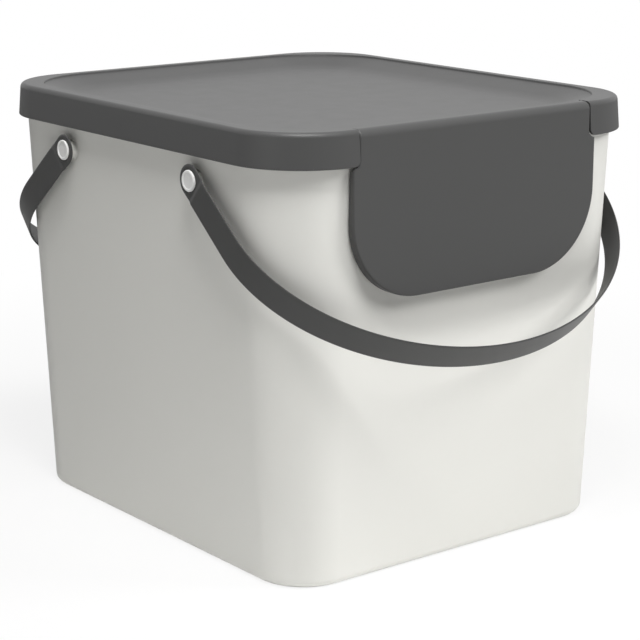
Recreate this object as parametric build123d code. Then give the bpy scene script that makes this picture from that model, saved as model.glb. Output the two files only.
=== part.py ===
from build123d import *
import os
from math import cos, radians, sin, sqrt

# Stackable kitchen bin with a flap in its lid and two swinging handles.
# Millimetres. X runs across the front, -Y is the front, +Z is up,
# and the origin is the middle of the base.

# Lid
HEIGHT = 340.0
LID_WIDTH = 358.0
LID_DEPTH = 400.0
LID_CORNER = 60.0
LID_WALL = 2.4
BAND_HEIGHT = 26.0
BAND_DRAFT = 2.1
BAND_TOP_ROUNDING = 3.6
BAND_FOOT_ROUNDING = 1.1
RIM_WIDTH = 10.6
RIM_STEP = 1.4
RIM_STEP_DRAFT = 0.4
TRAY_CORNER = 70.0
TRAY_FALL = 7.6
TRAY_SLOPE = 38.0
TRAY_BLEND = 18.0
TRAY_BLEND_STEPS = 5

# Container, which fits inside the lid's band
BASE_WIDTH = 316.4
BASE_DEPTH = 360.8
BASE_CORNER = 41.0
BASE_ROUNDING = 6.0
TOP_CORNER = 58.0
WALL = 2.2
FLOOR = 3.0
LID_SEAT_GAP = 0.1
LID_FIT_X = 0.5
LID_FIT_Y = 1.0

# Flap, which covers a filling mouth in the container
FLAP_SETBACK = 0.8
FLAP_HALF_WIDTH = 118.2
FLAP_NECK_HALF_WIDTH = 112.3
FLAP_HEIGHT = 125.7
FLAP_CORNER = 61.0
FLAP_LAP = 12.2
FLAP_SKIN = 0.8
FLAP_PLATE = 2.2
FLAP_SHOULDER_GAP = 1.2
FLAP_SIDE_GAP = 0.6
FLAP_REAR_STEP = 1.2
FLAP_RIM = 2.0
FLAP_RIM_DROP = 3.4
FLAP_WALL_GAP = 1.5
FLAP_TOP_ROUNDING = 6.0
FLAP_HOOK_DROP = 6.0

# Flap hinge, two pins in blocks under the lid's rim
HINGE_SETBACK = 9.7
BARREL_RADIUS = 3.8
BARREL_CLEARANCE = 0.4
TRUNNION_RADIUS = 1.5
TRUNNION_LENGTH = 4.4
TRUNNION_CLEARANCE = 0.06
HINGE_BLOCK_WALL = 2.0
HINGE_BLOCK_WIDTH = 5.0
HINGE_BLOCK_DROP = 5.2
HINGE_BLOCK_ROOT = 0.4
HINGE_CUT_SIDE_GAP = 1.7
HINGE_CUT_FALL = 1.0
HINGE_CUT_DEPTH = 20.0

# Handles
PIVOT_Y = 86.7
PIVOT_DROP = 44.2
HANDLE_HANG_DEG = 39.9
HANDLE_REACH = 195.4
HANDLE_ARM_LENGTH = 63.2
HANDLE_LID_GAP = 0.2
HANDLE_BAND_GAP = 0.3
STRAP_WIDTH = 23.5
STRAP_THICKNESS = 1.4
EYE_RADIUS = 12.2
EYE_FLAT_MARGIN = 0.9
EYE_RECESS_GAP = 1.3
EYE_RECESS_DEPTH = 0.5

# Rivets, snapped through bosses on the container
BOSS_INSET = 5.0
BOSS_HEIGHT = 6.0
BOSS_GAP = 0.3
RIVET_HEAD_RADIUS = 7.9
RIVET_HEAD_THICKNESS = 1.8
RIVET_HEAD_GAP = 0.1
RIVET_HEAD_EDGE = 0.8
RIVET_RING_WIDTH = 1.7
RIVET_DISH = 0.7
RIVET_DISH_RAMP = 0.9
RIVET_SHAFT_RADIUS = 4.0
RIVET_HOLE_CLEARANCE = 0.06
RIVET_BARB_RADIUS = 5.0
RIVET_BARB_GAP = 0.65
RIVET_TIP_LENGTH = 4.7
RIVET_TIP_RADIUS = 3.4
RIVET_SLOT = 1.8
RIVET_SLOT_PAST_BARB = 3.0

# Cutting tools run this far past what they cut
OVERRUN = 5.0
HALF_TURN = 180

HALF_LID_X = LID_WIDTH / 2
BAND_BOTTOM = HEIGHT - BAND_HEIGHT
FLAP_BOTTOM = HEIGHT - FLAP_HEIGHT
PIVOT_Z = HEIGHT - PIVOT_DROP
HALF_LID_Y = LID_DEPTH / 2
SEAT_Z = HEIGHT - LID_WALL - LID_SEAT_GAP
TRAY_HALF_X = HALF_LID_X - BAND_DRAFT - RIM_WIDTH
TRAY_HALF_Y = HALF_LID_Y - BAND_DRAFT - RIM_WIDTH
TRAY_EDGE_Z = HEIGHT - RIM_STEP
TRAY_FLOOR_Z = TRAY_EDGE_Z - TRAY_FALL
BASE_HALF_X = BASE_WIDTH / 2
BASE_HALF_Y = BASE_DEPTH / 2
TOP_HALF_X = HALF_LID_X - BAND_DRAFT - LID_WALL - LID_FIT_X
TOP_HALF_Y = HALF_LID_Y - BAND_DRAFT - LID_WALL - LID_FIT_Y

FLAP_FRONT = -HALF_LID_Y + FLAP_SETBACK
HINGE_Y = FLAP_FRONT + HINGE_SETBACK
HINGE_Z = HEIGHT - BARREL_RADIUS
NOTCH_HALF_WIDTH = FLAP_NECK_HALF_WIDTH + FLAP_SIDE_GAP
NOTCH_CORNER = FLAP_HALF_WIDTH - NOTCH_HALF_WIDTH
HINGE_BLOCK_LENGTH = TRUNNION_LENGTH + HINGE_BLOCK_WALL
HINGE_BLOCK_BOTTOM = HINGE_Z - HINGE_BLOCK_DROP


def container_half_x(z):
    return BASE_HALF_X + (TOP_HALF_X - BASE_HALF_X) * z / SEAT_Z


def container_half_y(z):
    return BASE_HALF_Y + (TOP_HALF_Y - BASE_HALF_Y) * z / SEAT_Z


PIVOT_WALL_X = container_half_x(PIVOT_Z)
BOSS_RADIUS = EYE_RADIUS - BOSS_INSET
BOSS_FACE_X = PIVOT_WALL_X + BOSS_HEIGHT
EYE_INNER_X = BOSS_FACE_X + BOSS_GAP
EYE_OUTER_X = EYE_INNER_X + STRAP_THICKNESS
EYE_SEAT_X = EYE_OUTER_X - EYE_RECESS_DEPTH
EYE_FLAT = RIVET_HEAD_RADIUS + EYE_FLAT_MARGIN
EYE_RAMP_END = sqrt((BAND_BOTTOM - PIVOT_Z - HANDLE_BAND_GAP) ** 2 - (STRAP_WIDTH / 2) ** 2)
HANDLE_HALF_WIDTH = HALF_LID_X + HANDLE_LID_GAP + STRAP_THICKNESS
PIVOT_HOLE_RADIUS = RIVET_SHAFT_RADIUS + RIVET_HOLE_CLEARANCE
RIVET_BARB_X = PIVOT_WALL_X - WALL - RIVET_BARB_GAP
RIVET_TIP_X = RIVET_BARB_X - RIVET_TIP_LENGTH


def outline(half_x, half_y, corner, z):
    return Plane.XY.offset(z) * RectangleRounded(2 * half_x, 2 * half_y, corner)


def tapered(sections):
    return loft([outline(*section) for section in sections], ruled=True)


def rod(radius, x_from, x_to, y, z):
    plane = Plane(origin=(x_from, y, z), x_dir=(0, 1, 0), z_dir=(1, 0, 0))
    return extrude(plane * Circle(radius), x_to - x_from)


def side_profile(face_edges, half_width):
    # a closed profile drawn as (y, z), run from -half_width to +half_width along X
    plane = Plane(origin=(-half_width, 0, 0), x_dir=(0, 1, 0), z_dir=(1, 0, 0))
    return extrude(plane * make_face(face_edges), 2 * half_width)


def front_profile(face_edges, y_front, y_rear):
    # a closed profile drawn as (x, z), run back from y_front to y_rear
    plane = Plane(origin=(0, y_rear, 0), x_dir=(1, 0, 0), z_dir=(0, -1, 0))
    return extrude(plane * make_face(face_edges), y_rear - y_front)


# Container
def mouth_cutter():
    low = FLAP_BOTTOM + FLAP_LAP
    half = FLAP_HALF_WIDTH - FLAP_LAP
    corner = FLAP_CORNER - FLAP_LAP
    edges = [
        Line((-half, HEIGHT), (-half, low + corner)),
        RadiusArc((-half, low + corner), (-half + corner, low), -corner),
        Line((-half + corner, low), (half - corner, low)),
        RadiusArc((half - corner, low), (half, low + corner), -corner),
        Line((half, low + corner), (half, HEIGHT)),
        Line((half, HEIGHT), (-half, HEIGHT)),
    ]
    mouth = front_profile(edges, -HALF_LID_Y, -container_half_y(low) + WALL + OVERRUN)
    hinge_half_width = NOTCH_HALF_WIDTH + HINGE_BLOCK_LENGTH + HINGE_CUT_SIDE_GAP
    hinge_room = Pos(0, -TOP_HALF_Y, HINGE_BLOCK_BOTTOM - HINGE_CUT_FALL) * Box(
        2 * hinge_half_width, 2 * HINGE_CUT_DEPTH, HEIGHT - HINGE_BLOCK_BOTTOM + OVERRUN,
        align=(Align.CENTER, Align.CENTER, Align.MIN),
    )
    return mouth + hinge_room


def make_container():
    shell = tapered([
        (BASE_HALF_X, BASE_HALF_Y, BASE_CORNER, 0),
        (TOP_HALF_X, TOP_HALF_Y, TOP_CORNER, SEAT_Z),
    ])
    shell = fillet(shell.edges().group_by(Axis.Z)[0], BASE_ROUNDING)
    inside = tapered([
        (container_half_x(FLOOR) - WALL, container_half_y(FLOOR) - WALL, BASE_CORNER - WALL, FLOOR),
        (TOP_HALF_X - WALL, TOP_HALF_Y - WALL, TOP_CORNER - WALL, SEAT_Z),
    ])
    inside = fillet(inside.edges().group_by(Axis.Z)[0], BASE_ROUNDING - WALL)
    bosses = []
    holes = []
    boss_root = PIVOT_WALL_X - WALL / 2
    for side in (-1, 1):
        for end in (-1, 1):
            y = end * PIVOT_Y
            bosses.append(rod(BOSS_RADIUS, side * boss_root, side * BOSS_FACE_X, y, PIVOT_Z))
            holes.append(rod(PIVOT_HOLE_RADIUS, side * RIVET_TIP_X, side * HALF_LID_X, y, PIVOT_Z))
    body = shell + bosses
    body = body - inside - holes
    return body - mouth_cutter()


# Lid
def tray_rise(inset):
    # an even slope that blends into the flat floor
    even = TRAY_SLOPE - TRAY_BLEND
    steepness = TRAY_FALL / (even + TRAY_BLEND / 2)
    if inset < even:
        return TRAY_FALL - steepness * inset
    return steepness * (TRAY_SLOPE - inset) ** 2 / (2 * TRAY_BLEND)


def tray_sections(grow, drop):
    # the tray's soft dish, from its flat floor out to the foot of the rim's step
    insets = [TRAY_SLOPE - TRAY_BLEND * step / TRAY_BLEND_STEPS for step in range(TRAY_BLEND_STEPS + 1)]
    sections = []
    for inset in insets + [0]:
        rise = tray_rise(inset)
        sections.append((
            TRAY_HALF_X - inset + grow,
            TRAY_HALF_Y - inset + grow,
            TRAY_CORNER - inset + grow,
            TRAY_FLOOR_Z + rise - drop,
        ))
    lip = grow + RIM_STEP_DRAFT
    sections.append((TRAY_HALF_X + lip, TRAY_HALF_Y + lip, TRAY_CORNER + lip, HEIGHT))
    return sections


def notch_cutter():
    half = NOTCH_HALF_WIDTH
    flare = NOTCH_CORNER
    below = BAND_BOTTOM - OVERRUN
    above = HEIGHT + OVERRUN
    edges = [
        Line((half, above), (half, BAND_BOTTOM + flare)),
        RadiusArc((half, BAND_BOTTOM + flare), (half + flare, BAND_BOTTOM), -flare),
        Line((half + flare, BAND_BOTTOM), (half + flare, below)),
        Line((half + flare, below), (-half - flare, below)),
        Line((-half - flare, below), (-half - flare, BAND_BOTTOM)),
        RadiusArc((-half - flare, BAND_BOTTOM), (-half, BAND_BOTTOM + flare), -flare),
        Line((-half, BAND_BOTTOM + flare), (-half, above)),
        Line((-half, above), (half, above)),
    ]
    front = front_profile(edges, -HALF_LID_Y - OVERRUN, HINGE_Y)
    seat_radius = BARREL_RADIUS + BARREL_CLEARANCE
    seat = rod(seat_radius, -half, half, HINGE_Y, HINGE_Z)
    over_barrel = Pos(0, HINGE_Y, HINGE_Z) * Box(
        2 * half, seat_radius, above - HINGE_Z, align=(Align.CENTER, Align.MIN, Align.MIN)
    )
    return front + seat + over_barrel


def make_hinge_blocks():
    top = HEIGHT - LID_WALL + HINGE_BLOCK_ROOT
    blocks = []
    for side in (-1, 1):
        x = side * (NOTCH_HALF_WIDTH + HINGE_BLOCK_LENGTH / 2)
        blocks.append(Pos(x, HINGE_Y, HINGE_BLOCK_BOTTOM) * Box(
            HINGE_BLOCK_LENGTH, HINGE_BLOCK_WIDTH, top - HINGE_BLOCK_BOTTOM,
            align=(Align.CENTER, Align.CENTER, Align.MIN),
        ))
    return blocks


def make_lid():
    band = tapered([
        (HALF_LID_X, HALF_LID_Y, LID_CORNER, BAND_BOTTOM),
        (HALF_LID_X - BAND_DRAFT, HALF_LID_Y - BAND_DRAFT, LID_CORNER - BAND_DRAFT, HEIGHT),
    ])
    band = fillet(band.edges().group_by(Axis.Z)[-1], BAND_TOP_ROUNDING)
    band = fillet(band.edges().group_by(Axis.Z)[0], BAND_FOOT_ROUNDING)
    inner_x = HALF_LID_X - LID_WALL
    inner_y = HALF_LID_Y - LID_WALL
    inner_corner = LID_CORNER - LID_WALL
    channel = tapered([
        (inner_x, inner_y, inner_corner, BAND_BOTTOM),
        (inner_x - BAND_DRAFT, inner_y - BAND_DRAFT, inner_corner - BAND_DRAFT, HEIGHT - LID_WALL),
    ])
    tray_shell = tapered(tray_sections(LID_WALL, LID_WALL))
    lid = band - channel
    lid = lid + (tray_shell & band)
    lid = lid + make_hinge_blocks()
    lid = lid - tapered(tray_sections(0, 0))
    lid = lid - notch_cutter()
    hole = TRUNNION_RADIUS + TRUNNION_CLEARANCE
    hole_end = NOTCH_HALF_WIDTH + TRUNNION_LENGTH
    for side in (-1, 1):
        lid = lid - rod(hole, side * FLAP_NECK_HALF_WIDTH, side * hole_end, HINGE_Y, HINGE_Z)
    return lid


# Flap
def flap_outline(shoulder, inset):
    half = FLAP_HALF_WIDTH - inset
    neck = FLAP_NECK_HALF_WIDTH - inset
    flare = half - neck
    low = FLAP_BOTTOM + inset
    corner = FLAP_CORNER - inset
    top = HEIGHT - FLAP_TOP_ROUNDING
    edges = [
        Line((-neck, top), (-neck, shoulder + flare)),
        RadiusArc((-neck, shoulder + flare), (-half, shoulder), flare),
        Line((-half, shoulder), (-half, low + corner)),
        RadiusArc((-half, low + corner), (-half + corner, low), -corner),
        Line((-half + corner, low), (half - corner, low)),
        RadiusArc((half - corner, low), (half, low + corner), -corner),
        Line((half, low + corner), (half, shoulder)),
        RadiusArc((half, shoulder), (neck, shoulder + flare), flare),
        Line((neck, shoulder + flare), (neck, top)),
        Line((neck, top), (-neck, top)),
    ]
    return edges


def make_flap_hook():
    outer = FLAP_TOP_ROUNDING
    inner = FLAP_TOP_ROUNDING - FLAP_PLATE
    bend_y = FLAP_FRONT + outer
    bend_z = HEIGHT - outer
    rear = FLAP_FRONT + FLAP_PLATE
    root = bend_z - FLAP_HOOK_DROP
    underside = HEIGHT - FLAP_PLATE
    edges = [
        Line((FLAP_FRONT, root), (FLAP_FRONT, bend_z)),
        RadiusArc((FLAP_FRONT, bend_z), (bend_y, HEIGHT), outer),
        Line((bend_y, HEIGHT), (HINGE_Y, HEIGHT)),
        Line((HINGE_Y, HEIGHT), (HINGE_Y, underside)),
        Line((HINGE_Y, underside), (bend_y, underside)),
        RadiusArc((bend_y, underside), (rear, bend_z), -inner),
        Line((rear, bend_z), (rear, root)),
        Line((rear, root), (FLAP_FRONT, root)),
    ]
    hook = side_profile(edges, FLAP_NECK_HALF_WIDTH)
    neck = FLAP_NECK_HALF_WIDTH
    barrel = rod(BARREL_RADIUS, -neck, neck, HINGE_Y, HINGE_Z)
    pins = rod(TRUNNION_RADIUS, -neck - TRUNNION_LENGTH, neck + TRUNNION_LENGTH, HINGE_Y, HINGE_Z)
    return hook + barrel + pins


def make_flap():
    shoulder = BAND_BOTTOM - FLAP_SHOULDER_GAP
    low_shoulder = shoulder - FLAP_REAR_STEP
    skin_rear = FLAP_FRONT + FLAP_SKIN
    plate_rear = FLAP_FRONT + FLAP_PLATE
    skin = front_profile(flap_outline(shoulder, 0), FLAP_FRONT, skin_rear)
    plate = front_profile(flap_outline(low_shoulder, 0), FLAP_FRONT, plate_rear)
    rim_rear = -container_half_y(FLAP_BOTTOM) + OVERRUN
    rim = front_profile(flap_outline(low_shoulder, 0), skin_rear, rim_rear)
    rim = rim - front_profile(flap_outline(low_shoulder, FLAP_RIM), skin_rear, rim_rear)
    rim_top = BAND_BOTTOM - FLAP_RIM_DROP
    rim = rim - Pos(0, HINGE_Y, rim_top) * Box(
        LID_WIDTH, LID_DEPTH, HEIGHT, align=(Align.CENTER, Align.CENTER, Align.MIN)
    )
    wall_low = (-container_half_y(0) - FLAP_WALL_GAP, 0)
    wall_high = (-container_half_y(HEIGHT) - FLAP_WALL_GAP, HEIGHT)
    wall_edges = [
        Line(wall_low, wall_high),
        Line(wall_high, (0, HEIGHT)),
        Line((0, HEIGHT), (0, 0)),
        Line((0, 0), wall_low),
    ]
    rim = rim - side_profile(wall_edges, HALF_LID_X)
    return skin + plate + rim + make_flap_hook()


# Handles
def strap_line(half_width, reach, eye_x):
    # one face of the strap, from the left eye round the bow to the right eye
    ellipse = EllipticalCenterArc(
        (0, HANDLE_ARM_LENGTH), half_width, reach - HANDLE_ARM_LENGTH, 0, arc_size=HALF_TURN
    )
    arms = []
    for side in (-1, 1):
        arms.append(Polyline(
            (side * eye_x, 0),
            (side * eye_x, EYE_FLAT),
            (side * half_width, EYE_RAMP_END),
            (side * half_width, HANDLE_ARM_LENGTH),
        ))
    return [ellipse] + arms


def make_handle(end):
    # end is -1 for the front handle and +1 for the rear one
    hang = radians(HANDLE_HANG_DEG)
    edges = strap_line(HANDLE_HALF_WIDTH, HANDLE_REACH, EYE_OUTER_X)
    edges += strap_line(HANDLE_HALF_WIDTH - STRAP_THICKNESS, HANDLE_REACH - STRAP_THICKNESS, EYE_INNER_X)
    edges += [Line((EYE_INNER_X, 0), (EYE_OUTER_X, 0)), Line((-EYE_INNER_X, 0), (-EYE_OUTER_X, 0))]
    plane = Plane(
        origin=(0, end * PIVOT_Y, PIVOT_Z),
        x_dir=(-end, 0, 0),
        z_dir=(0, -end * sin(hang), -cos(hang)),
    )
    strap = extrude(plane * make_face(edges), STRAP_WIDTH / 2, both=True)
    y = end * PIVOT_Y
    for side in (-1, 1):
        strap = strap + rod(EYE_RADIUS, side * EYE_INNER_X, side * EYE_OUTER_X, y, PIVOT_Z)
    hole_end = EYE_OUTER_X + OVERRUN
    recess_radius = RIVET_HEAD_RADIUS + EYE_RECESS_GAP
    for side in (-1, 1):
        strap = strap - rod(PIVOT_HOLE_RADIUS, side * BOSS_FACE_X, side * hole_end, y, PIVOT_Z)
        strap = strap - rod(recess_radius, side * EYE_SEAT_X, side * hole_end, y, PIVOT_Z)
    return strap


# Rivets
def make_rivet(side, end):
    under_head = EYE_SEAT_X + RIVET_HEAD_GAP
    face = under_head + RIVET_HEAD_THICKNESS
    dish_radius = RIVET_HEAD_RADIUS - RIVET_RING_WIDTH
    edges = [
        Polyline(
            (RIVET_TIP_X, 0),
            (RIVET_TIP_X, RIVET_TIP_RADIUS),
            (RIVET_BARB_X, RIVET_BARB_RADIUS),
            (RIVET_BARB_X, RIVET_SHAFT_RADIUS),
            (under_head, RIVET_SHAFT_RADIUS),
            (under_head, RIVET_HEAD_RADIUS),
            (face - RIVET_HEAD_EDGE, RIVET_HEAD_RADIUS),
            (face, RIVET_HEAD_RADIUS - RIVET_HEAD_EDGE),
            (face, dish_radius),
            (face - RIVET_DISH, dish_radius - RIVET_DISH_RAMP),
            (face - RIVET_DISH, 0),
            (RIVET_TIP_X, 0),
        )
    ]
    rivet = revolve(Plane.XY * make_face(edges), Axis.X)
    slot_length = RIVET_TIP_LENGTH + RIVET_SLOT_PAST_BARB
    slot = Pos(RIVET_TIP_X, 0, 0) * Box(
        slot_length, RIVET_SLOT, 4 * RIVET_BARB_RADIUS, align=(Align.MIN, Align.CENTER, Align.CENTER)
    )
    rivet = rivet - slot
    if side < 0:
        rivet = rivet.mirror(Plane.YZ)
    return Pos(0, end * PIVOT_Y, PIVOT_Z) * rivet


PARTS = {
    "container": make_container(),
    "lid": make_lid(),
    "flap": make_flap(),
    "front_handle": make_handle(-1),
    "rear_handle": make_handle(1),
    "front_left_rivet": make_rivet(-1, -1),
    "front_right_rivet": make_rivet(1, -1),
    "rear_left_rivet": make_rivet(-1, 1),
    "rear_right_rivet": make_rivet(1, 1),
}

os.makedirs("parts", exist_ok=True)
for name, shape in PARTS.items():
    export_step(shape, f"parts/{name}.step")
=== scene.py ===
from math import acos, asin, atan2, cos, degrees, hypot, pi, radians, sin
import bmesh
import bpy
from mathutils import Matrix, Vector


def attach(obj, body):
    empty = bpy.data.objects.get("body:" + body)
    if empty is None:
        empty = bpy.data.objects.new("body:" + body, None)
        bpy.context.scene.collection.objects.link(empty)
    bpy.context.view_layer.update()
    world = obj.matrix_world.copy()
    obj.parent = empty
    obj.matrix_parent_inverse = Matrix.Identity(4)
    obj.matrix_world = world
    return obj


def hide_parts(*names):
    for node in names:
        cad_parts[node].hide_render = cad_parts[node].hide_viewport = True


# Stackable kitchen bin with a flap in its lid and two swinging strap handles.
# Metres. X runs across the front, -Y is the front, +Z is up.

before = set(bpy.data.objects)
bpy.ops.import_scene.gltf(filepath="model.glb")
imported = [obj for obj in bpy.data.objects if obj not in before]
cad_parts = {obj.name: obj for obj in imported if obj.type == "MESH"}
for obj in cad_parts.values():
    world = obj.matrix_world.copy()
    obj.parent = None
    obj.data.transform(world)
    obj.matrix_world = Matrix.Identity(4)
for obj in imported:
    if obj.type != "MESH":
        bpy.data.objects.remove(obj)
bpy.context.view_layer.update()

MM = 0.001

# Lid
HEIGHT = 340 * MM
LID_HALF_X = 179 * MM
LID_HALF_Y = 200 * MM
LID_CORNER = 60 * MM
LID_WALL = 2.4 * MM
BAND_HEIGHT = 26 * MM
BAND_DRAFT = 2.1 * MM
BAND_TOP_ROUNDING = 3.6 * MM
BAND_FOOT_ROUNDING = 1.1 * MM
RIM_WIDTH = 10.6 * MM
RIM_STEP = 1.4 * MM
RIM_STEP_DRAFT = 0.4 * MM
RIM_EDGE_ROUNDING = 0.9 * MM
TRAY_CORNER = 70 * MM
TRAY_FALL = 7.6 * MM
TRAY_SLOPE = 38 * MM
TRAY_BLEND = 18 * MM
TRAY_BLEND_STEPS = 12
TRAY_FLAT_RINGS = (2 * MM, 4 * MM)

# Container
BASE_HALF_X = 158.2 * MM
BASE_HALF_Y = 180.4 * MM
BASE_CORNER = 41 * MM
BASE_ROUNDING = 6 * MM
TOP_CORNER = 58 * MM
WALL = 2.2 * MM
FLOOR = 3 * MM
LIP_ROUNDING = 0.8 * MM
LID_SEAT_GAP = 0.1 * MM
LID_FIT_X = 0.5 * MM
LID_FIT_Y = 1.0 * MM
WALL_STEPS = 8

# Flap
FLAP_SETBACK = 0.8 * MM
FLAP_HALF_WIDTH = 118.2 * MM
FLAP_NECK_HALF_WIDTH = 112.3 * MM
FLAP_HEIGHT = 125.7 * MM
FLAP_CORNER = 61 * MM
FLAP_LAP = 12.2 * MM
FLAP_SKIN = 0.8 * MM
FLAP_PLATE = 2.2 * MM
FLAP_EDGE_ROUNDING = 1.3 * MM
FLAP_SHOULDER_GAP = 1.2 * MM
FLAP_SIDE_GAP = 0.6 * MM
FLAP_REAR_STEP = 1.2 * MM
FLAP_RIM = 2 * MM
FLAP_RIM_DROP = 3.4 * MM
FLAP_WALL_GAP = 1.5 * MM
FLAP_TOP_ROUNDING = 6 * MM
FLAP_SIDE_PLAY = 0.35 * MM

# Flap hinge
HINGE_SETBACK = 9.7 * MM
BARREL_RADIUS = 3.8 * MM
BARREL_CLEARANCE = 0.4 * MM
TRUNNION_RADIUS = 1.5 * MM
TRUNNION_LENGTH = 4.4 * MM
TRUNNION_CLEARANCE = 0.06 * MM
HINGE_BLOCK_WALL = 2 * MM
HINGE_BLOCK_WIDTH = 5 * MM
HINGE_BLOCK_DROP = 5.2 * MM
HINGE_BLOCK_ROOT = 0.4 * MM
HINGE_CUT_SIDE_GAP = 1.7 * MM
HINGE_CUT_FALL = 1 * MM
HINGE_CUT_DEPTH = 20 * MM

# Handles
PIVOT_Y = 86.7 * MM
PIVOT_DROP = 44.2 * MM
HANDLE_HANG = radians(39.9)
HANDLE_REACH = 195.4 * MM
HANDLE_ARM_LENGTH = 63.2 * MM
HANDLE_HALF_WIDTH = 180.6 * MM
STRAP_WIDTH = 23.5 * MM
STRAP_THICKNESS = 1.4 * MM
STRAP_EDGE_ROUNDING = 0.55 * MM
STRAP_EDGE_WIDTH = 1.5 * MM
EYE_RADIUS = 12.2 * MM
EYE_FLAT = 8.8 * MM
EYE_RAMP_END = 13.5 * MM
EYE_RECESS_RADIUS = 9.2 * MM
EYE_RECESS_DEPTH = 0.5 * MM
PATH_LEAD = 15 * MM
RAMP_STEPS = 24
BOW_STEPS = 360
STRAP_SLICE = 4 * MM
RAMP_SLICE = 0.5 * MM
RAMP_SLICES = 13
RAMP_SLICE_LEAD = 1 * MM

# Rivets and the bosses they go through
BOSS_RADIUS = 7.2 * MM
BOSS_HEIGHT = 6 * MM
BOSS_ROOT_FILLET = 1.2 * MM
BOSS_GAP = 0.3 * MM
HOLE_RADIUS = 4.06 * MM
RIVET_HEAD_RADIUS = 7.9 * MM
RIVET_HEAD_THICKNESS = 1.8 * MM
RIVET_HEAD_GAP = 0.1 * MM
RIVET_RING_WIDTH = 1.3 * MM
RIVET_DISH = 0.45 * MM
RIVET_DISH_WALL = 0.9 * MM
RIVET_DISH_WALL_INSET = 1.2 * MM
RIVET_DISH_FLAT_INSET = 1.8 * MM
RIVET_FACE_ROUNDING = 0.6 * MM
RIVET_UNDER_CHAMFER = 0.2 * MM
RIVET_MIDDLE_RADIUS = 0.2 * MM
RIVET_SHAFT_RADIUS = 4.0 * MM
RIVET_BARB_RADIUS = 5.0 * MM
RIVET_BARB_GAP = 0.65 * MM
RIVET_TIP_LENGTH = 4.7 * MM
RIVET_TIP_RADIUS = 3.4 * MM
RIVET_SLOT = 1.8 * MM
RIVET_SLOT_PAST_BARB = 3 * MM

# How far a cutting shape reaches past what it cuts
OVERRUN = 5 * MM

# How finely round shapes are drawn, and how edges are softened
CORNER_STEPS = 28
ROUNDING_STEPS = 4
SPIN_STEPS = 64
SOFT_EDGE = 0.35 * MM
FLAP_SOFT_EDGE = 0.25 * MM
SHARP_ANGLE = radians(40)

# Places worked out from the sizes above
SEAT_Z = HEIGHT - LID_WALL - LID_SEAT_GAP
BAND_BOTTOM = HEIGHT - BAND_HEIGHT
TOP_HALF_X = LID_HALF_X - BAND_DRAFT - LID_WALL - LID_FIT_X
TOP_HALF_Y = LID_HALF_Y - BAND_DRAFT - LID_WALL - LID_FIT_Y
TRAY_HALF_X = LID_HALF_X - BAND_DRAFT - RIM_WIDTH
TRAY_HALF_Y = LID_HALF_Y - BAND_DRAFT - RIM_WIDTH
TRAY_EDGE_Z = HEIGHT - RIM_STEP
TRAY_FLOOR_Z = TRAY_EDGE_Z - TRAY_FALL
FLAP_FRONT = -LID_HALF_Y + FLAP_SETBACK
FLAP_BOTTOM = HEIGHT - FLAP_HEIGHT
HINGE_Y = FLAP_FRONT + HINGE_SETBACK
HINGE_Z = HEIGHT - BARREL_RADIUS
NOTCH_HALF_WIDTH = FLAP_NECK_HALF_WIDTH + FLAP_SIDE_GAP
NOTCH_CORNER = FLAP_HALF_WIDTH - NOTCH_HALF_WIDTH
HINGE_BLOCK_LENGTH = TRUNNION_LENGTH + HINGE_BLOCK_WALL
HINGE_BLOCK_BOTTOM = HINGE_Z - HINGE_BLOCK_DROP
PIVOT_Z = HEIGHT - PIVOT_DROP
PIVOT_WALL_X = BASE_HALF_X + (TOP_HALF_X - BASE_HALF_X) * PIVOT_Z / SEAT_Z
BOSS_FACE_X = PIVOT_WALL_X + BOSS_HEIGHT
EYE_OUTER_X = BOSS_FACE_X + BOSS_GAP + STRAP_THICKNESS
RIVET_BARB_X = PIVOT_WALL_X - WALL - RIVET_BARB_GAP
RIVET_TIP_X = RIVET_BARB_X - RIVET_TIP_LENGTH


# Shapes
def sweep_angles(start, end, steps):
    return [radians(start + (end - start) * step / steps) for step in range(steps + 1)]


def rounded_ring(half_x, half_y, corner, z):
    ring = []
    for quarter in range(4):
        side_x = 1 if quarter in (0, 3) else -1
        side_y = 1 if quarter in (0, 1) else -1
        for angle in sweep_angles(90 * quarter, 90 * quarter + 90, CORNER_STEPS):
            x = side_x * (half_x - corner) + corner * cos(angle)
            y = side_y * (half_y - corner) + corner * sin(angle)
            ring.append((x, y, z))
    return ring


def skin(rings):
    shape = bmesh.new()
    loops = [[shape.verts.new(point) for point in ring] for ring in rings]
    for low, high in zip(loops, loops[1:]):
        for here in range(len(low)):
            after = (here + 1) % len(low)
            shape.faces.new((low[here], low[after], high[after], high[here]))
    shape.faces.new(loops[0])
    shape.faces.new(loops[-1])
    bmesh.ops.recalc_face_normals(shape, faces=shape.faces)
    return shape


def as_object(name, shape):
    mesh = bpy.data.meshes.new(name)
    shape.to_mesh(mesh)
    shape.free()
    piece = bpy.data.objects.new(name, mesh)
    bpy.context.scene.collection.objects.link(piece)
    return piece


def prism(points, direction, length):
    # a closed outline pushed along direction
    reach = Vector(direction) * length
    return skin([points, [tuple(Vector(point) + reach) for point in points]])


def block(low, high):
    corners = [(low[0], low[1]), (high[0], low[1]), (high[0], high[1]), (low[0], high[1])]
    return skin([[(x, y, low[2]) for x, y in corners], [(x, y, high[2]) for x, y in corners]])


def spun(profile, centre):
    # profile is (distance along X, radius), turned about the X axis through centre
    rings = []
    for along, radius in profile:
        ring = []
        for step in range(SPIN_STEPS):
            angle = 2 * pi * step / SPIN_STEPS
            ring.append((along, centre[0] + radius * cos(angle), centre[1] + radius * sin(angle)))
        rings.append(ring)
    return skin(rings)


def rod(radius, x_from, x_to, y, z):
    return spun([(x_from, radius), (x_to, radius)], (y, z))


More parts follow.
